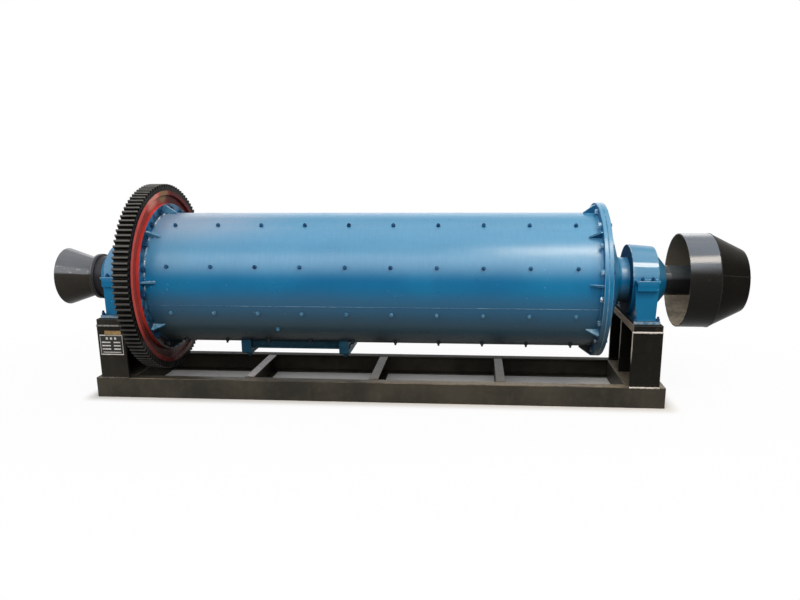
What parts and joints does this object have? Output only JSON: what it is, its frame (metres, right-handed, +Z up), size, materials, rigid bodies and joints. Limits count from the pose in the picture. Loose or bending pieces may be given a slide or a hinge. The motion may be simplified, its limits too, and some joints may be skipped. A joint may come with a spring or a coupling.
{
  "type": "ball mill",
  "caption": "Horizontal grinding drum with a toothed ring gear, turning in two split bearings on a steel base frame, with a drum feeder and a discharge cone.",
  "frame": {"origin": "on the floor under the middle of the base frame, on the underside of the middle cross beam", "axes": "+X along the drum axis towards the feed end, +Z up"},
  "size_m": [4.797, 1.3344, 1.4751],
  "materials": {
    "blue_paint": "gloss enamel",
    "black_paint": "gloss enamel with dust",
    "red_paint": "gloss enamel",
    "gear_steel": "dark satin with worn tooth tips"
  },
  "bodies": {
    "base": {"front_beam": "black_paint", "rear_beam": "black_paint", "left_crossbeam": "black_paint", "middle_crossbeam": "black_paint", "right_crossbeam": "black_paint", "left_end_beam": "black_paint", "right_end_beam": "black_paint", "left_pedestal_ribs": "black_paint", "right_pedestal_ribs": "black_paint", "left_pedestal_web": "black_paint", "right_pedestal_web": "black_paint", "left_top_plate": "black_paint", "right_top_plate": "black_paint", "left_bearing_base": "blue_paint", "right_bearing_base": "blue_paint", "left_bearing_cap": "blue_paint", "right_bearing_cap": "blue_paint", "left_seal_cover": "blue_paint", "right_seal_cover": "blue_paint"},
    "drum": {"drum_shell": "blue_paint", "left_drum_flange": "red_paint", "right_drum_flange": "blue_paint", "left_gussets": "blue_paint", "right_gussets": "blue_paint", "ring_gear": "gear_steel", "feed_head": "blue_paint", "discharge_head": "blue_paint", "manhole_frame": "blue_paint", "manhole_cover": "blue_paint", "manhole_clamps": "blue_paint", "discharge_collar": "black_paint", "discharge_cone": "black_paint", "feed_tube": "black_paint", "feeder_drum": "black_paint", "feeder_diaphragm": "black_paint", "feeder_cone": "black_paint"}
  },
  "joints": [
    {"name": "drum_spin", "type": "hinge", "parent": "base", "child": "drum", "pos_m": [0, 0, 0.808], "axis": [1, 0, 0], "continuous": true}
  ]
}
